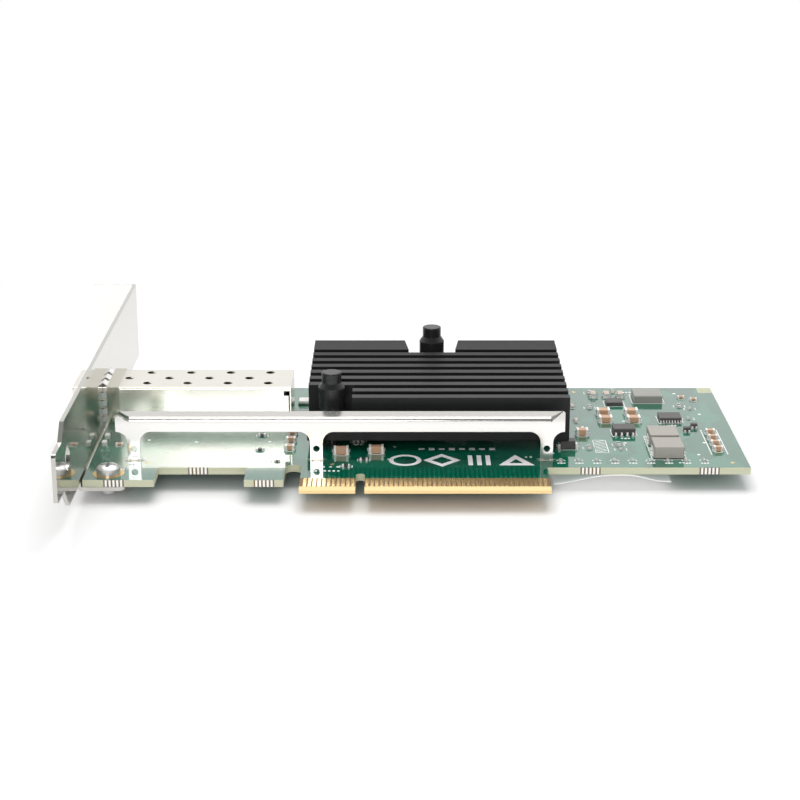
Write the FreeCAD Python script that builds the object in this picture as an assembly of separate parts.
"""Full-height network interface card with one transceiver cage, as separate solids.

Frame: millimetres.  +X runs along the card away from the bracket, +Y from the edge tongue to the
card's top edge, +Z out of the component face.  The origin is where the centre line of the key
notch meets the board's main lower edge, on the component face.
"""
import math
import os

import FreeCAD
import Part

V = FreeCAD.Vector
os.makedirs("parts", exist_ok=True)

# ---- driving dimensions -------------------------------------------------------------------------

# circuit board
board_thickness = 1.57
board_left = -58.0             # edge beside the bracket
board_height = 56.15           # main lower edge to top edge
power_area = 37.75             # bare board to the right of the heatsink
tongue_drop = 12.75            # how far the edge tongue reaches below the main edge
tongue_left = 12.6             # key centre to the tongue's left side
tongue_right = 39.6            # key centre to the tongue's right side
key_width = 1.9
key_top = 3.8                  # key notch stops this far below the main edge
bevel_length = 1.3
bevel_angle = 20.0
tab_drop = 7.6                 # how far the two forward tabs reach
left_tab_width = 14.9
middle_tab_left = -24.3
middle_tab_right = -16.05

# edge contacts
contact_pitch = 1.0
contact_width = 0.7
contact_plating = 0.05
contact_top = 6.5              # contacts start this far below the main edge
first_contact = 1.5            # first contact centre from the key centre, on both sides
contacts_left = 11
contacts_right = 38

# bracket
sheet = 0.86
bracket_gap = 0.3              # board edge to the bracket's inner face
bracket_length = 120.02
blade_width = 18.42
blade_low = -0.35              # lower long edge of the blade
tongue_width = 10.19
tongue_low = 4.9               # step from the blade's lower edge up to the tongue's
tongue_length = 7.27
bracket_foot = -33.6           # free end of the tongue
flange_reach = 11.43           # fixing flange, out from the blade's inner face
flange_overhang = 3.17
flange_bend = 1.5              # outer bend radius
fixing_slot_width = 4.42
fixing_slot_reach = 6.35       # slot centre from the blade's outer face
fixing_slot_depth = 4.6
foot_hole_radius = 2.65
foot_hole_up = 12.9            # hole centre from the tongue's free end
port_clearance = 0.35
board_tab_width = 8.5
board_tab_reach = 8.8

# bracket screws
screw_in = 4.9                 # screw axis from the board's left edge
near_screw_y = -3.5
far_screw_down = 7.85          # far screw from the board's top edge
screw_radius = 1.45
screw_length = 4.2
screw_head_radius = 2.5
screw_head_height = 1.9
screw_hole_clearance = 0.15
recess_width = 0.8
recess_depth = 1.1

# transceiver cage
cage_width = 14.25
cage_height = 9.75
cage_length = 48.9
cage_proud = 6.7               # how far its mouth stands out of the bracket's inner face
cage_low = 25.4                # side wall nearer the tongue
cage_sheet = 0.3
vent_radius = 1.0
vent_pitch = 9.07
vent_first = 16.4              # first vent of the outer rows from the mouth
vent_margin = 5.0              # clear sheet between the last vent and the rear wall
vent_rows = (3.6, 7.4, 11.65)  # row centres from the near side wall
cage_pin_width = 0.8
cage_pin_reach = 2.7
cage_pin_first = 11.5          # first pin from the mouth
cage_pin_last = 3.8            # last pin from the rear wall
cage_pins = 5
cage_floor_gap = 2.5           # floor plate to the host connector
latch_window = 2.8
collar_length = 2.8
collar_sheet = 0.15
finger_length = 0.95
finger_rise = 0.6
socket_width = 11.0
socket_length = 13.5
socket_height = 5.4
socket_back_gap = 1.4          # host connector to the cage's rear wall
slot_width = 9.2               # slot for the module's card
slot_height = 1.5
slot_depth = 6.0
slot_low = 2.4
tail_relief = 1.2              # room under the host connector for its tails
tail_reach = 0.9
socket_contacts = 10
socket_pitch = 0.8
leaf_width = 0.3
leaf_thickness = 0.2

# controller, pad and heatsink
chip_y = 33.4
sink_gap = 4.2                 # cage's rear wall to the heatsink
substrate_size = 25.0
substrate_height = 0.6
cap_size = 21.0
cap_height = 1.15
pad_size = 18.0
pad_height = 0.45
sink_left = 16.5               # heatsink edges from the controller's centre
sink_right = 40.5
sink_front = 22.3
sink_edge_gap = 0.25           # board's top edge to the heatsink's back
sink_height = 9.8
sink_base = 2.6
bar_width = 7.84               # wide bar along the heatsink's back
fin_pitch = 4.62
fin_thickness = 2.3
pocket_right = 6.7             # pocket at the front left corner ends here, left of the controller
pocket_fins = 2
notch_width = 10.9
notch_flare = 0.9

# heatsink pins
pin_offset = 11.2              # pins to either side of the controller's centre, along X
pin_inset = 4.2                # pins from the heatsink's front and back
pin_head_radius = 2.15
pin_head_height = 2.3
pin_flare = 1.1                # height of the cone between the head and the cap
pin_cap_radius = 2.9
pin_cap_height = 4.8
pin_cap_wall = 0.55
pin_cap_roof = 0.2             # solid top of the cap, under the flare
pin_cap_top = 13.2
pin_shank_radius = 1.3
pin_hole_radius = 1.55
pin_barb_radius = 1.85
pin_tip_radius = 1.0
pin_reach = 3.4                # barb tip below the board
pin_slit = 0.6
spring_wire = 0.22             # wire radius
spring_sides = 8
spring_turns = 7

# stiffener rail
rail_front = 4.5
rail_sheet = 0.7
rail_left = -52.5
rail_right = 43.55
rail_low = 6.46                # underside of the beam above the board
rail_bend = 8.7                # where the top lip starts to bend
rail_bend_radius = 0.9
rail_lip = 2.6
rail_lip_tilt = 10.0
rail_ear = 2.9                 # length of each plain end beyond the lip's bend
ear_rises = (1.2, 2.3)
leg_width = 2.7
leg_inset = 2.45               # outer legs from the beam's ends
middle_leg = -9.6
leg_hole_radius = 0.72
leg_hole_up = 2.65
leg_fillet = 2.4
leg_pin_width = 1.9
leg_pin_reach = 0.9
slot_clearance = 0.15

# parts in the power area, set out from the board's right edge
inductor_size = (6.4, 6.7, 2.7)
inductor_in = 16.6
inductor_y = 8.75
inductor_pitch = 8.0
inductor_corner = 0.3
inductor_rim = 0.15
choke_size = (6.6, 6.0, 1.75)
choke_in = 16.3
choke_down = 8.75              # from the board's top edge
flash_in = 24.5
flash_y = 23.05
sequencer_in = 12.95
sequencer_y = 32.3
regulator_in = 24.4
regulator_y = 43.8
bulk_capacitor_in = 27.7
bulk_capacitor_y = 33.55
bulk_capacitor_pitch = (6.4, 5.3)

# parts placed from the key centre
monitor_x = -0.96
monitor_y = 17.95
diode_size = (3.2, 2.5, 1.85)
diode_y = 13.0
diode_inset = 0.1              # diode centre left of the heatsink's right side
crystal_size = (2.8, 3.4, 0.55)
crystal_gap = 2.0              # crystal centre from the cage's rear wall
crystal_down = 11.75           # and from the board's top edge

# status lights
light_size = (1.0, 1.8, 0.9)
light_inset = 0.9
light_ys = (14.5, 19.2)
light_hole_radius = 1.0

# underside label
label_in = 16.85               # label's right end from the board's right edge
label_length = 25.0
label_front = -0.4
label_depth = 19.0
label_sheet = 0.12
label_grip = 10.9              # stuck strip's centre from the label's right end
label_stuck = 2.4              # width of the strip that touches the board
label_droop = 1.5
label_curl = 0.5               # how much lower the left end hangs

# chip part sizes: length, width, height, terminal length
CHIP_0402 = (1.0, 0.5, 0.35, 0.25)
CHIP_0603 = (1.6, 0.8, 0.5, 0.35)
CHIP_0805 = (2.0, 1.25, 1.1, 0.4)
CHIP_1206 = (3.2, 1.6, 1.6, 0.5)
CHIP_1210 = (3.0, 2.3, 1.3, 0.5)
CHIP_1008 = (2.6, 2.0, 1.45, 0.5)

# ---- values that follow -------------------------------------------------------------------------

board_bottom = -board_thickness
inner_face = board_left - bracket_gap
outer_face = inner_face - sheet
blade_top = blade_low + blade_width
bracket_head = bracket_foot + bracket_length
tab_under = board_bottom - sheet
cage_mouth = inner_face - cage_proud
cage_rear = cage_mouth + cage_length
cage_far = cage_low + cage_width
cage_centre = (cage_low + cage_far) / 2
screw_x = board_left + screw_in
screw_ys = (near_screw_y, board_height - far_screw_down)
socket_rear = cage_rear - cage_sheet - socket_back_gap
socket_front = socket_rear - socket_length
chip_x = cage_rear + sink_gap + sink_left
sink_bottom = substrate_height + cap_height + pad_height
sink_floor = sink_bottom + sink_base
sink_top = sink_bottom + sink_height
sink_x = (chip_x - sink_left, chip_x + sink_right)
board_right = sink_x[1] + power_area
label_right = board_right - label_in
label_left = label_right - label_length
label_middle = label_right - label_grip
sink_y = (chip_y - sink_front, board_height - sink_edge_gap)
pin_places = [(chip_x - pin_offset, sink_y[0] + pin_inset),
              (chip_x + pin_offset, sink_y[1] - pin_inset)]
leg_centres = (rail_left + leg_inset + leg_width / 2, middle_leg,
               rail_right - leg_inset - leg_width / 2)
bar_front = sink_y[1] - bar_width
fin_count = int((bar_front - sink_y[0] + 0.1) / fin_pitch)
cage_pin_pitch = (cage_length - cage_pin_first - cage_pin_last) / (cage_pins - 1)
vent_count = 1 + int((cage_length - vent_first - vent_margin) / vent_pitch)
choke_y = board_height - choke_down
crystal_y = board_height - crystal_down


# ---- helpers ------------------------------------------------------------------------------------

def box(x, y, z):
    """A box from three (low, high) pairs."""
    return Part.makeBox(x[1] - x[0], y[1] - y[0], z[1] - z[0], V(x[0], y[0], z[0]))


def block(centre_x, centre_y, size, low=0.0):
    """A box of (length, width, height) standing on the level low."""
    length, width, height = size
    return box((centre_x - length / 2, centre_x + length / 2),
               (centre_y - width / 2, centre_y + width / 2), (low, low + height))


def rod(x, y, low, high, radius):
    """An upright cylinder."""
    return Part.makeCylinder(radius, high - low, V(x, y, low), V(0, 0, 1))


def prism(points, direction):
    """A closed outline of points, pushed along a direction."""
    corners = [V(*p) for p in points]
    return Part.Face(Part.makePolygon(corners + corners[:1])).extrude(V(*direction))


def fuse(first, *others):
    return first.fuse(list(others)).removeSplitter() if others else first


def cut(body, *tools):
    return body.cut(list(tools)) if tools else body


def edges_along(shape, axis, places):
    """Straight edges parallel to axis ('x', 'y' or 'z') that pass one of the places."""
    index = "xyz".index(axis)
    across = [i for i in range(3) if i != index]
    found = []
    for edge in shape.Edges:
        ends = [v.Point for v in edge.Vertexes]
        if len(ends) != 2:
            continue
        if any(abs(ends[0][i] - ends[1][i]) > 1e-6 for i in across):
            continue
        for place in places:
            if all(abs(ends[0][i] - p) < 1e-4 for i, p in zip(across, place)):
                found.append(edge)
                break
    return found


def rounded(shape, axis, places, radius):
    return shape.makeFillet(radius, edges_along(shape, axis, places))


def bend_ring(centre, low, high, inner, outer, start, sweep):
    """A quarter-like bend of sheet: a ring sector about a line along Z through centre."""
    arc = Part.makeCylinder(outer, high - low, V(centre[0], centre[1], low), V(0, 0, 1), sweep)
    arc = arc.cut(Part.makeCylinder(inner, high - low, V(centre[0], centre[1], low), V(0, 0, 1)))
    arc.rotate(V(centre[0], centre[1], low), V(0, 0, 1), start)
    return arc


# ---- board --------------------------------------------------------------------------------------

def cage_pin_places():
    """Pin centres of the cage: (x, y) under both side walls."""
    xs = [cage_mouth + cage_pin_first + i * cage_pin_pitch for i in range(cage_pins)]
    ys = (cage_low + cage_sheet / 2, cage_far - cage_sheet / 2)
    return [(x, y) for x in xs for y in ys]


def make_circuit_board():
    z = (board_bottom, 0)
    board = box((board_left, board_right), (0, board_height), z)
    left_tab = box((board_left, board_left + left_tab_width), (-tab_drop, 0), z)
    mid_tab = box((middle_tab_left, middle_tab_right), (-tab_drop, 0), z)
    edge_tongue = box((-tongue_left, tongue_right), (-tongue_drop, 0), z)
    board = fuse(board, left_tab, mid_tab, edge_tongue)
    half_gap = (-tongue_left - middle_tab_right) / 2
    gap_end = rod(middle_tab_right + half_gap, 0, board_bottom - 1, 1, half_gap)
    key_radius = key_width / 2
    key = box((-key_radius, key_radius), (-tongue_drop - 1, -key_top - key_radius),
              (board_bottom - 1, 1))
    key_end = rod(0, -key_top - key_radius, board_bottom - 1, 1, key_radius)
    holes = [rod(screw_x, y, board_bottom - 1, 1, screw_radius + screw_hole_clearance)
             for y in screw_ys]
    holes += [rod(x, y, board_bottom - 1, 1, pin_hole_radius) for x, y in pin_places]
    holes += [rod(x, y, board_bottom - 1, 1, cage_pin_width / 2 + slot_clearance)
              for x, y in cage_pin_places()]
    slot = leg_pin_width / 2 + slot_clearance
    holes += [box((x - slot, x + slot),
                  (rail_front - slot_clearance, rail_front + rail_sheet + slot_clearance),
                  (board_bottom - 1, 1)) for x in leg_centres]
    slope = math.tan(math.radians(bevel_angle))
    start = -tongue_drop + bevel_length
    beyond = start - 2 * bevel_length
    bevels = []
    for face, side in ((0, -1), (board_bottom, 1)):
        depth = side * slope * 2 * bevel_length
        bevels.append(prism([(-tongue_left - 1, start, face), (-tongue_left - 1, beyond, face),
                             (-tongue_left - 1, beyond, face + depth)],
                            (tongue_right + tongue_left + 2, 0, 0)))
    board = cut(board, gap_end, key, key_end, *holes, *bevels)
    return [board]


def make_edge_contacts():
    centres = [-first_contact - i * contact_pitch for i in range(contacts_left)]
    centres += [first_contact + i * contact_pitch for i in range(contacts_right)]
    length = (-tongue_drop + bevel_length, -contact_top)
    half = contact_width / 2
    pads = []
    for x in centres:
        pads.append(box((x - half, x + half), length, (0, contact_plating)))
        pads.append(box((x - half, x + half), length,
                        (board_bottom - contact_plating, board_bottom)))
    return pads


# ---- bracket ------------------------------------------------------------------------------------

def board_tab(centre_y):
    """A tab bent from the blade's lower edge to lie under the board."""
    y = (centre_y - board_tab_width / 2, centre_y + board_tab_width / 2)
    upright = box((outer_face, inner_face), y, (board_bottom + bracket_gap, blade_low + 0.5))
    ring = Part.makeCylinder(bracket_gap + sheet, y[1] - y[0], V(0, 0, 0), V(0, 0, 1), 90)
    ring = ring.cut(Part.makeCylinder(bracket_gap, y[1] - y[0], V(0, 0, 0), V(0, 0, 1)))
    ring.rotate(V(0, 0, 0), V(0, 0, 1), 180)
    ring.rotate(V(0, 0, 0), V(1, 0, 0), 90)
    ring.translate(V(board_left, y[1], board_bottom + bracket_gap))
    end = board_left + board_tab_reach
    plate = box((board_left, end), y, (tab_under, board_bottom))
    plate = rounded(plate, "z", [(end, y[0]), (end, y[1])], 1.6)
    thread = rod(screw_x, centre_y, tab_under - 1, board_bottom + 0.01, screw_radius)
    return [upright, ring, cut(plate, thread)]


def make_io_bracket():
    shoulder = bracket_foot + tongue_length
    step = tongue_low
    top_step = blade_width - tongue_low - tongue_width
    tongue_z = (blade_low + step, blade_low + step + tongue_width)
    blade_end = bracket_head - flange_bend
    outline = [(bracket_foot, tongue_z[0]), (shoulder, tongue_z[0]), (shoulder + step, blade_low),
               (blade_end, blade_low), (blade_end, blade_top), (shoulder + top_step, blade_top),
               (shoulder, tongue_z[1]), (bracket_foot, tongue_z[1])]
    blade = prism([(outer_face, y, z) for y, z in outline], (sheet, 0, 0))
    blade = rounded(blade, "x", [(bracket_foot, tongue_z[0]), (bracket_foot, tongue_z[1])], 0.8)
    port = box((outer_face - 1, inner_face + 1),
               (cage_low - port_clearance, cage_far + port_clearance),
               (blade_low - 1, cage_height + port_clearance))
    through = V(1, 0, 0)
    hole_z = (tongue_z[0] + tongue_z[1]) / 2
    foot_hole = Part.makeCylinder(foot_hole_radius, sheet + 2,
                                  V(outer_face - 1, bracket_foot + foot_hole_up, hole_z), through)
    light_holes = [Part.makeCylinder(light_hole_radius, sheet + 2,
                                     V(outer_face - 1, y, light_size[2] + light_hole_radius),
                                     through) for y in light_ys]
    blade = cut(blade, port, foot_hole, *light_holes)
    low = blade_low - flange_overhang
    bend = bend_ring((outer_face - flange_bend + sheet, blade_end), blade_low, blade_top,
                     flange_bend - sheet, flange_bend, 0, 90)
    flange_start = outer_face - flange_bend + sheet
    flange_end = inner_face - flange_reach
    flange = box((flange_end, flange_start), (bracket_head - sheet, bracket_head),
                 (low, blade_top))
    flange = rounded(flange, "y", [(flange_end, low), (flange_end, blade_top)], 1.5)
    slot_x = outer_face - fixing_slot_reach
    half = fixing_slot_width / 2
    slot_top = low + fixing_slot_depth
    slot = box((slot_x - half, slot_x + half), (bracket_head - sheet - 1, bracket_head + 1),
               (low - 1, slot_top))
    slot_end = Part.makeCylinder(half, sheet + 2, V(slot_x, bracket_head - sheet - 1, slot_top),
                                 V(0, 1, 0))
    flange = cut(flange, slot, slot_end)
    tabs = [piece for y in screw_ys for piece in board_tab(y)]
    return [fuse(blade, bend, flange, *tabs)]


def make_bracket_screws():
    screws = []
    for y in screw_ys:
        crown = 0.55
        rim = screw_head_height - crown
        profile = [V(0, 0, 0), V(screw_head_radius, 0, 0), V(screw_head_radius, 0, rim)]
        face_edges = [Part.LineSegment(profile[0], profile[1]).toShape(),
                      Part.LineSegment(profile[1], profile[2]).toShape(),
                      Part.Arc(profile[2], V(screw_head_radius * 0.8, 0, rim + crown * 0.72),
                               V(0, 0, screw_head_height)).toShape(),
                      Part.LineSegment(V(0, 0, screw_head_height), profile[0]).toShape()]
        head = Part.Face(Part.Wire(face_edges)).revolve(V(0, 0, 0), V(0, 0, 1), 360)
        arm = screw_head_radius * 0.62
        depth = (screw_head_height - recess_depth, screw_head_height + 1)
        half = recess_width / 2
        head = cut(head, box((-arm, arm), (-half, half), depth),
                   box((-half, half), (-arm, arm), depth))
        shank = rod(0, 0, -screw_length, 0, screw_radius)
        screw = fuse(head, shank)
        screw.translate(V(screw_x, y, 0))
        screws.append(screw)
    return screws


# ---- transceiver cage ---------------------------------------------------------------------------

def make_cage_shell():
    x = (cage_mouth, cage_rear)
    shell = box(x, (cage_low, cage_far), (0, cage_height))
    shell = rounded(shell, "x", [(cage_low, cage_height), (cage_far, cage_height)], 0.5)
    inside = box((cage_mouth - 1, cage_rear - cage_sheet),
                 (cage_low + cage_sheet, cage_far - cage_sheet), (-1, cage_height - cage_sheet))
    vents = []
    for row, offset in enumerate(vent_rows):
        shift = -vent_pitch / 2 if row == 1 else 0
        for i in range(vent_count):
            vents.append(rod(cage_mouth + vent_first + shift + i * vent_pitch,
                             cage_low + offset, cage_height - 1, cage_height + 1, vent_radius))
    corner = box((cage_rear - 1.6, cage_rear - cage_sheet),
                 (cage_low - 1, cage_low + cage_sheet), (cage_height - 1.9, cage_height - 0.8))
    seam = box((cage_rear - cage_sheet - 0.25, cage_rear - cage_sheet),
               (cage_low - 1, cage_low + cage_sheet), (3.2, cage_height - 1.2))
    far = cage_far + cage_low
    mirror_corner = corner.mirror(V(0, far / 2, 0), V(0, 1, 0))
    mirror_seam = seam.mirror(V(0, far / 2, 0), V(0, 1, 0))
    shell = cut(shell, inside, corner, seam, mirror_corner, mirror_seam, *vents)
    pins = [box((px - cage_pin_width / 2, px + cage_pin_width / 2),
                (py - cage_sheet / 2, py + cage_sheet / 2), (-cage_pin_reach, 0.5))
            for px, py in cage_pin_places()]
    return [fuse(shell, *pins)]


def make_cage_floor():
    start = cage_mouth + 0.2
    plate = box((start, socket_front - cage_floor_gap),
                (cage_low + cage_sheet, cage_far - cage_sheet), (0, cage_sheet))
    window = prism([(start + 2.0, cage_centre - latch_window / 2, -1),
                    (start + 2.0, cage_centre + latch_window / 2, -1),
                    (start + 2.0 + latch_window, cage_centre, -1)], (0, 0, 2))
    return [cut(plate, window)]


def make_emi_spring_collar():
    back = inner_face + finger_length + collar_length
    front = inner_face + finger_length
    outer = collar_sheet
    band = box((front, back), (cage_low - outer, cage_far + outer), (0, cage_height + outer))
    band = cut(band, box((front - 1, back + 1), (cage_low, cage_far), (-1, cage_height)))

    def finger(width):
        """One sprung finger in its own frame: out along +Z, tip towards -X."""
        tip = (inner_face, finger_rise)
        points = [(front + 0.3, 0), (front + 0.3, outer), (front, outer), (tip[0], tip[1] + outer),
                  (tip[0], tip[1]), (front, 0)]
        return prism([(px, -width / 2, pz) for px, pz in points], (0, width, 0))

    fingers = []
    for i in (-1, 0, 1):
        top = finger(3.0)
        top.translate(V(0, cage_centre + i * 4.4, cage_height))
        fingers.append(top)
    for i in range(4):
        height = 2.4 + i * 1.9
        for side, angle in ((cage_low, 90), (cage_far, -90)):
            leaf = finger(1.1)
            leaf.rotate(V(0, 0, 0), V(1, 0, 0), angle)
            leaf.translate(V(0, side, height))
            fingers.append(leaf)
    return [fuse(band, *fingers)]


def make_host_connector():
    sides = (cage_centre - socket_width / 2, cage_centre + socket_width / 2)
    slot_sides = (cage_centre - slot_width / 2, cage_centre + slot_width / 2)
    body = box((socket_front, socket_rear), sides, (0, socket_height))
    body = rounded(body, "z", [(socket_front, y) for y in sides], 0.8)
    mouth = box((socket_front - 1, socket_front + slot_depth), slot_sides,
                (slot_low, slot_low + slot_height))
    tail_room = box((socket_rear - tail_relief, socket_rear + 1), slot_sides, (-1, 0.5))
    return [cut(body, mouth, tail_room)]


def make_host_contacts():
    pieces = []
    for i in range(socket_contacts):
        middle = cage_centre + (i - (socket_contacts - 1) / 2) * socket_pitch
        y = (middle - leaf_width / 2, middle + leaf_width / 2)
        pieces.append(box((socket_rear - tail_relief, socket_rear + tail_reach), y,
                          (0, leaf_thickness)))
        for level in (slot_low, slot_low + slot_height - leaf_thickness):
            pieces.append(box((socket_front + 0.8, socket_front + slot_depth), y,
                              (level, level + leaf_thickness)))
    return pieces


def make_status_lights():
    length, width, height = light_size
    return [block(board_left + light_inset + length / 2, y, (length, width, height))
            for y in light_ys]


# ---- controller and heatsink --------------------------------------------------------------------

def make_controller_substrate():
    return [block(chip_x, chip_y, (substrate_size, substrate_size, substrate_height))]


def make_controller_cap():
    half = cap_size / 2
    top = half - 0.4
    lower = Part.makePolygon([V(chip_x + a * half, chip_y + b * half, substrate_height)
                              for a, b in ((-1, -1), (1, -1), (1, 1), (-1, 1), (-1, -1))])
    upper = Part.makePolygon([V(chip_x + a * top, chip_y + b * top, substrate_height + cap_height)
                              for a, b in ((-1, -1), (1, -1), (1, 1), (-1, 1), (-1, -1))])
    return [Part.makeLoft([lower, upper], True, True)]


def make_thermal_pad():
    return [block(chip_x, chip_y, (pad_size, pad_size, pad_height),
                  substrate_height + cap_height)]


def make_heatsink():
    base = box(sink_x, sink_y, (sink_bottom, sink_floor))
    fins = []
    for i in range(fin_count):
        y = sink_y[0] + i * fin_pitch
        left = chip_x - pocket_right if i < pocket_fins else sink_x[0]
        fins.append(box((left, sink_x[1]), (y, y + fin_thickness), (sink_bottom, sink_top)))
    bar = box(sink_x, (bar_front, sink_y[1]), (sink_bottom, sink_top))
    sink = fuse(base, bar, *fins)
    rear_x = pin_places[1][0]
    wide = notch_width / 2 + notch_flare
    narrow = notch_width / 2
    notch = prism([(rear_x - narrow, bar_front - 0.01, sink_floor),
                   (rear_x + narrow, bar_front - 0.01, sink_floor),
                   (rear_x + wide, sink_y[1] + 0.01, sink_floor),
                   (rear_x - wide, sink_y[1] + 0.01, sink_floor)], (0, 0, sink_height))
    holes = [rod(x, y, sink_bottom - 1, sink_floor + 1, pin_hole_radius) for x, y in pin_places]
    return [cut(sink, notch, *holes)]


def make_push_pins():
    pins = []
    for x, y in pin_places:
        cap_low = pin_cap_top - pin_cap_height
        cap = rod(0, 0, cap_low, pin_cap_top, pin_cap_radius)
        flare_top = pin_cap_top + pin_flare
        flare = Part.makeCone(pin_cap_radius, pin_head_radius, pin_flare, V(0, 0, pin_cap_top),
                              V(0, 0, 1))
        hollow = rod(0, 0, cap_low - 1, pin_cap_top - pin_cap_roof,
                     pin_cap_radius - pin_cap_wall)
        head_top = flare_top + pin_head_height
        head = rod(0, 0, flare_top, head_top, pin_head_radius)
        head = head.makeFillet(0.3, [e for e in head.Edges
                                     if abs(e.BoundBox.ZMin - head_top) < 1e-6
                                     and len(e.Vertexes) == 1])
        shank = rod(0, 0, board_bottom - 1, pin_cap_top, pin_shank_radius)
        tip = board_bottom - pin_reach
        barb = Part.makeCone(pin_tip_radius, pin_barb_radius, pin_reach, V(0, 0, tip), V(0, 0, 1))
        slit = box((-pin_slit / 2, pin_slit / 2), (-5, 5), (tip - 1, board_bottom + 0.8))
        pin = cut(fuse(cut(cap, hollow), flare, head, shank, barb), slit)
        pin.translate(V(x, y, 0))
        pins.append(pin)
    return pins


def make_pin_springs():
    springs = []
    low = sink_floor + spring_wire
    high = pin_cap_top - pin_cap_roof - spring_wire
    radius = (pin_cap_radius - pin_cap_wall + pin_shank_radius) / 2
    for x, y in pin_places:
        path = Part.makeHelix((high - low) / spring_turns, high - low, radius)
        corners = []
        for i in range(spring_sides + 1):
            turn = 2 * math.pi * i / spring_sides
            corners.append(V(radius + spring_wire * math.cos(turn), 0,
                             spring_wire * math.sin(turn)))
        section = Part.makePolygon(corners)
        coil = Part.Wire(path.Edges).makePipeShell([section], True, True)
        coil.translate(V(x, y, low))
        springs.append(coil)
    return springs


# ---- stiffener rail -----------------------------------------------------------------------------

def make_stiffener_rail():
    y = (rail_front, rail_front + rail_sheet)
    beam = box((rail_left, rail_right), y, (rail_low, rail_bend))
    parts = []
    for x in leg_centres:
        parts.append(box((x - leg_width / 2, x + leg_width / 2), y, (0, rail_low)))
        parts.append(box((x - leg_pin_width / 2, x + leg_pin_width / 2), y,
                         (board_bottom - leg_pin_reach, 0)))
    for end, inward, rise in ((rail_left, 1, ear_rises[0]), (rail_right, -1, ear_rises[1])):
        parts.append(prism([(end, y[0], rail_bend), (end + inward * rail_ear, y[0], rail_bend),
                            (end + inward * 0.5, y[0], rail_bend + rise),
                            (end, y[0], rail_bend + rise * 0.85)], (0, rail_sheet, 0)))
    plate = fuse(beam, *parts)
    inner = [(x + side * leg_width / 2, rail_low) for x in leg_centres for side in (-1, 1)]
    plate = rounded(plate, "y", inner, leg_fillet)
    holes = [Part.makeCylinder(leg_hole_radius, rail_sheet + 2, V(x, y[0] - 1, leg_hole_up),
                               V(0, 1, 0)) for x in leg_centres]
    plate = cut(plate, *holes)

    # top lip: a bend of less than a right angle and a short flat, cut back at both ends
    tilt = math.radians(rail_lip_tilt)
    centre = V(0, rail_front + rail_bend_radius, rail_bend)
    turn = math.pi / 2 - tilt

    def at(radius, angle):
        """A point of the bend, angle measured from the front face over the top."""
        return V(0, centre.y - radius * math.cos(angle), centre.z + radius * math.sin(angle))

    outer = rail_bend_radius
    inner_radius = rail_bend_radius - rail_sheet
    reach = V(0, math.cos(tilt) * rail_lip, math.sin(tilt) * rail_lip)
    outer_end = at(outer, turn)
    inner_end = at(inner_radius, turn)
    edges = [Part.Arc(at(outer, 0), at(outer, turn / 2), outer_end).toShape(),
             Part.makeLine(outer_end, outer_end + reach),
             Part.makeLine(outer_end + reach, inner_end + reach),
             Part.makeLine(inner_end + reach, inner_end),
             Part.Arc(inner_end, at(inner_radius, turn / 2), at(inner_radius, 0)).toShape(),
             Part.makeLine(at(inner_radius, 0), at(outer, 0))]
    lip = Part.Face(Part.Wire(edges)).extrude(V(rail_right - rail_left, 0, 0))
    lip.translate(V(rail_left, 0, 0))
    deep = rail_bend_radius + rail_lip
    for end, inward in ((rail_left, 1), (rail_right, -1)):
        lip = lip.cut(prism([(end - inward, rail_front - 1, rail_bend - 1),
                             (end + inward * (rail_ear + 0.1), rail_front - 1, rail_bend - 1),
                             (end + inward * (rail_ear + 0.1), rail_front + rail_sheet,
                              rail_bend - 1),
                             (end + inward * 0.2, rail_front + deep, rail_bend - 1),
                             (end - inward, rail_front + deep, rail_bend - 1)], (0, 0, 5)))
    return [fuse(plate, lip)]


# ---- parts soldered to the board ----------------------------------------------------------------

def chip_part(x, y, size, turned=False, low=0.0):
    """Body and two end caps of a chip part; turned puts its length along Y."""
    length, width, height, cap = size
    if turned:
        body = block(x, y, (width * 0.94, length - 2 * cap, height * 0.94), low)
        ends = [block(x, y + side * (length - cap) / 2, (width, cap, height), low)
                for side in (-1, 1)]
    else:
        body = block(x, y, (length - 2 * cap, width * 0.94, height * 0.94), low)
        ends = [block(x + side * (length - cap) / 2, y, (cap, width, height), low)
                for side in (-1, 1)]
    return body, ends


def chip_group(places):
    """Bodies and end caps of a list of (x, y, size, turned)."""
    bodies = []
    caps = []
    for x, y, size, turned in places:
        body, ends = chip_part(x, y, size, turned)
        bodies.append(body)
        caps += ends
    return bodies, caps


def leaded_chip(x, y, body_size, lead_width, lead_pitch, per_side, reach, stand=0.12):
    """Moulded chip with gull-wing leads along its two long sides (front and back)."""
    length, width, height = body_size
    body = block(x, y, (length, width, height - stand), stand)
    tops = [(y - width / 2, height), (y + width / 2, height)]
    body = body.makeChamfer(min(0.18, height / 6), edges_along(body, "x", tops))
    leads = []
    gauge = 0.15
    shoulder = height * 0.45
    for i in range(per_side):
        lead_x = x + (i - (per_side - 1) / 2) * lead_pitch - lead_width / 2
        for side in (-1, 1):
            wall = y + side * width / 2
            out = side * reach
            points = [(wall, shoulder), (wall + out * 0.45, shoulder),
                      (wall + out * 0.6, gauge), (wall + out, gauge), (wall + out, 0),
                      (wall + out * 0.45, 0), (wall + out * 0.3, shoulder - gauge),
                      (wall, shoulder - gauge)]
            leads.append(prism([(lead_x, py, pz) for py, pz in points], (lead_width, 0, 0)))
    return [body], leads


def inductor_places():
    x = board_right - inductor_in
    return [(x, inductor_y), (x, inductor_y + inductor_pitch)]


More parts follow.
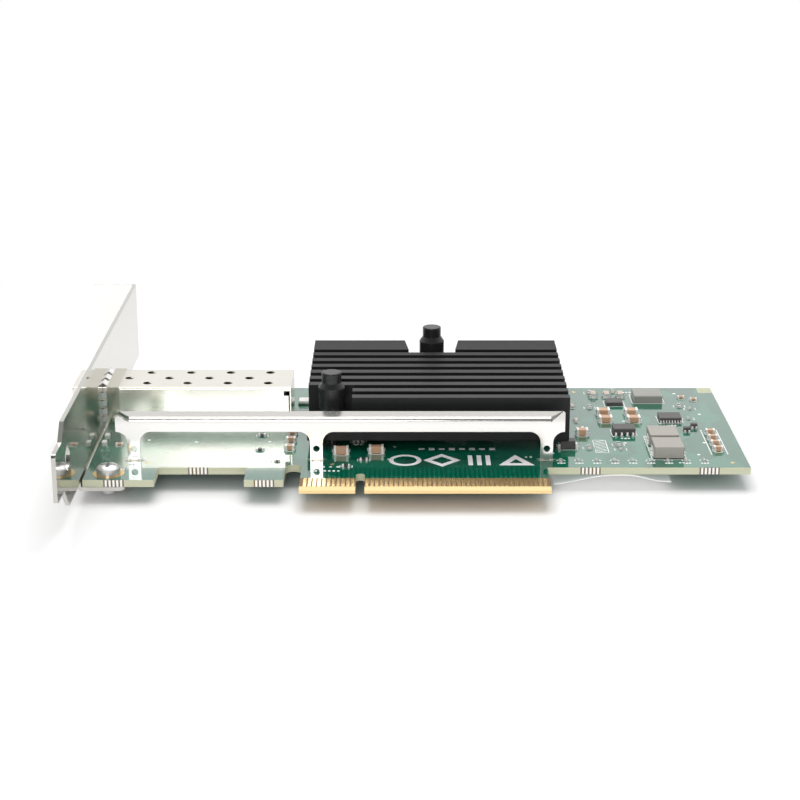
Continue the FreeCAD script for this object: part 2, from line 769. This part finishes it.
def make_inductor(x, y):
    length, width, height = inductor_size
    core = block(x, y, (length, width, height - 0.15), 0.15)
    sides = [(x - length / 2, y - width / 2), (x - length / 2, y + width / 2),
             (x + length / 2, y - width / 2), (x + length / 2, y + width / 2)]
    core = rounded(core, "z", sides, inductor_corner)
    rim = [e for e in core.Edges if abs(e.BoundBox.ZMin - height) < 1e-6
           and abs(e.BoundBox.ZMax - height) < 1e-6]
    return [core.makeFillet(inductor_rim, rim)]


def make_inductor_terminals():
    length, width, height = inductor_size
    feet = []
    for x, y in inductor_places():
        for side in (-1, 1):
            edge = x + side * length / 2
            feet.append(box(sorted((edge - side * 1.6, edge + side * 0.12)),
                            (y - width / 4, y + width / 4), (0, 0.15)))
            feet.append(box(sorted((edge, edge + side * 0.12)), (y - width / 4, y + width / 4),
                            (0.15, height * 0.55)))
    return feet


def make_choke():
    length, width, height = choke_size
    x = board_right - choke_in
    core = block(x, choke_y, choke_size)
    rim = [(choke_y - width / 2, height), (choke_y + width / 2, height)]
    return [core.makeChamfer(0.2, edges_along(core, "x", rim))]


def make_regulator():
    x = board_right - regulator_in
    body = block(x, regulator_y, (3.8, 3.6, 0.9))
    return [body.makeChamfer(0.12, edges_along(body, "x", [(regulator_y - 1.8, 0.9),
                                                           (regulator_y + 1.8, 0.9)]))]


def ceramic_places():
    """Chip capacitors on the component face: (x, y, size, turned)."""
    bulk_x = board_right - bulk_capacitor_in
    step_x, step_y = bulk_capacitor_pitch
    places = [(bulk_x + i * step_x, bulk_capacitor_y - 2.6 + j * step_y, CHIP_1210, False)
              for i in range(2) for j in range(2)]
    places += [(-4.45, 8.9, CHIP_1206, False), (3.15, 9.7, CHIP_1206, False)]
    places += [(board_right - 5.25, 10.8 + 3.8 * i, CHIP_0805, False) for i in range(4)]
    places += [(middle_tab_right + 0.3, 11.6 + 5.2 * i, CHIP_0805, False) for i in range(3)]
    places += [(board_right - 28.8 + 3.2 * i, 49.4, CHIP_0805, True) for i in range(3)]
    places += [(board_right - 33.9, 21.6, CHIP_1008, False)]
    places += [(board_right - 34.4, 31.0 + 10.4 * i, CHIP_0603, True) for i in range(2)]
    places += [(board_right - 8.1 + 2.7 * i, board_height - 7.85 - 1.6 * i, CHIP_0603, False)
               for i in range(2)]
    places += [(board_left + 4.7, 14.5, CHIP_0603, False)]
    return places


def resistor_places():
    """Chip resistors on the component face: (x, y, size, turned)."""
    right = board_right
    top = board_height
    places = [(right - 40.04 + 3.84 * i, 4.43, CHIP_0402, True) for i in range(9)]
    places += [(right - 26.6, 14.6, CHIP_0603, True), (right - 26.4, 11.6, CHIP_0402, True),
               (right - 33.2, 12.4, CHIP_0603, True), (right - 30.4, 40.8, CHIP_0603, True),
               (right - 29.4, top - 4.15, CHIP_0603, True), (right - 9.4, 41.8, CHIP_0603, True),
               (right - 23.8, top - 3.15, CHIP_0603, True), (right - 7.2, 39.9, CHIP_0402, True),
               (right - 8.6, 32.6, CHIP_0402, True)]
    places += [(0.5, 4.7, CHIP_0603, False), (-3.2, 0.6, CHIP_0603, False),
               (-22.2, 11.1, CHIP_0603, False), (-22.4, 20.7, CHIP_0603, False),
               (-18.0, 3.7, CHIP_0402, False)]
    return places


def transistor_places():
    return [(board_right - 8.2, 26.6), (board_right - 10.2, 24.0)]


def make_transistors():
    bodies = []
    leads = []
    for x, y in transistor_places():
        body, legs = leaded_chip(x, y, (1.4, 1.3, 1.0), 0.4, 0.95, 2, 0.55)
        bodies += body
        leads += legs
    return bodies, leads


def make_diode():
    length, width, height = diode_size
    x = sink_x[1] - diode_inset
    body = block(x, diode_y, (length, width, height - 0.1), 0.1)
    tops = [(diode_y - width / 2, height), (diode_y + width / 2, height)]
    body = body.makeChamfer(0.2, edges_along(body, "x", tops))
    feet = []
    for side in (-1, 1):
        edge = x + side * length / 2
        feet.append(box(sorted((edge - side * 0.9, edge + side * 0.5)),
                        (diode_y - width * 0.3, diode_y + width * 0.3), (0, 0.1)))
        feet.append(box(sorted((edge, edge + side * 0.5)),
                        (diode_y - width * 0.3, diode_y + width * 0.3), (0.1, 0.95)))
    return [body], feet


def make_crystal():
    length, width, lid = crystal_size
    x = cage_rear + crystal_gap
    base = block(x, crystal_y, (length, width, 0.35))
    can = block(x, crystal_y, (length - 0.4, width - 0.4, lid), 0.35)
    return [base], [can]


def underside_parts():
    """Decoupling capacitors below the controller, in two rows."""
    bodies = []
    caps = []
    for i in range(5):
        for row in (-6.0, 6.0):
            x = chip_x - 8.0 + 4.0 * i
            body, ends = chip_part(x, chip_y + row, CHIP_0603, True,
                                   board_bottom - CHIP_0603[2])
            body.translate(V(0, 0, CHIP_0603[2] * 0.06))
            bodies.append(body)
            caps += ends
    return bodies, caps


def make_underside_label():
    """Thin label stuck along its middle, with both ends drooping in a wave."""
    top = board_bottom
    low = top - label_droop
    left = label_middle - label_stuck / 2
    right = label_middle + label_stuck / 2
    left_end = V(label_left, 0, low - label_curl)
    right_end = V(label_right, 0, low)

    def wing(start, end, lift):
        """Curve from a stuck edge, where it is flat, to a free end."""
        away = 1 if end.x > start.x else -1
        knee = V(start.x + 0.7 * (end.x - start.x), 0, low + lift)
        curve = Part.BSplineCurve()
        curve.interpolate(Points=[start, knee, end], InitialTangent=V(away, 0, 0),
                          FinalTangent=V(away, 0, -0.06))
        return curve.toShape()

    faces = []
    for drop in (0, label_sheet):
        middle_left = V(left, 0, top - drop)
        middle_right = V(right, 0, top - drop)
        shift = V(0, 0, -drop)
        faces.append([wing(middle_left, left_end + shift, 0.1 - drop),
                      Part.makeLine(middle_left, middle_right),
                      wing(middle_right, right_end + shift, 0.25 - drop)])
    ends = [Part.makeLine(p, p - V(0, 0, label_sheet)) for p in (left_end, right_end)]
    edges = faces[0] + faces[1] + ends
    strip = Part.Face(Part.Wire(Part.__sortEdges__(edges))).extrude(V(0, label_depth, 0))
    strip.translate(V(0, label_front, 0))
    return [strip]


# ---- every node ---------------------------------------------------------------------------------

places = inductor_places()
flash_body, flash_leads = leaded_chip(board_right - flash_in, flash_y, (4.9, 3.9, 1.5), 0.42,
                                      1.27, 4, 1.05)
sequencer_body, sequencer_leads = leaded_chip(board_right - sequencer_in, sequencer_y,
                                              (5.0, 4.4, 1.05), 0.25, 0.65, 8, 0.95)
monitor_body, monitor_leads = leaded_chip(monitor_x, monitor_y, (2.9, 1.6, 1.15), 0.4, 0.95, 3, 0.6)
ceramic_bodies, ceramic_caps = chip_group(ceramic_places())
resistor_bodies, resistor_caps = chip_group(resistor_places())
transistor_bodies, transistor_leads = make_transistors()
diode_body, diode_feet = make_diode()
crystal_base, crystal_can = make_crystal()
under_bodies, under_caps = underside_parts()

NODES = {
    "circuit_board": make_circuit_board(),
    "edge_contacts": make_edge_contacts(),
    "io_bracket": make_io_bracket(),
    "bracket_screws": make_bracket_screws(),
    "cage_shell": make_cage_shell(),
    "cage_floor": make_cage_floor(),
    "emi_spring_collar": make_emi_spring_collar(),
    "host_connector": make_host_connector(),
    "host_contacts": make_host_contacts(),
    "status_lights": make_status_lights(),
    "controller_substrate": make_controller_substrate(),
    "controller_cap": make_controller_cap(),
    "thermal_pad": make_thermal_pad(),
    "heatsink": make_heatsink(),
    "push_pins": make_push_pins(),
    "pin_springs": make_pin_springs(),
    "stiffener_rail": make_stiffener_rail(),
    "power_inductor_1": make_inductor(*places[0]),
    "power_inductor_2": make_inductor(*places[1]),
    "inductor_terminals": make_inductor_terminals(),
    "choke": make_choke(),
    "flash_chip": flash_body,
    "flash_leads": flash_leads,
    "sequencer_chip": sequencer_body,
    "sequencer_leads": sequencer_leads,
    "monitor_chip": monitor_body,
    "monitor_leads": monitor_leads,
    "regulator_chip": make_regulator(),
    "ceramic_capacitors": ceramic_bodies,
    "capacitor_terminals": ceramic_caps,
    "chip_resistors": resistor_bodies,
    "resistor_terminals": resistor_caps,
    "input_diode": diode_body,
    "diode_terminals": diode_feet,
    "small_transistors": transistor_bodies,
    "transistor_leads": transistor_leads,
    "crystal_base": crystal_base,
    "crystal_can": crystal_can,
    "underside_capacitors": under_bodies,
    "underside_terminals": under_caps,
    "underside_label": make_underside_label(),
}

for name, solids in NODES.items():
    shape = solids[0] if len(solids) == 1 else Part.makeCompound(solids)
    shape.exportStep(f"parts/{name}.step")
    print(f"{name}: {len(shape.Solids)} solids, {shape.Volume:.2f} mm3, valid {shape.isValid()}")
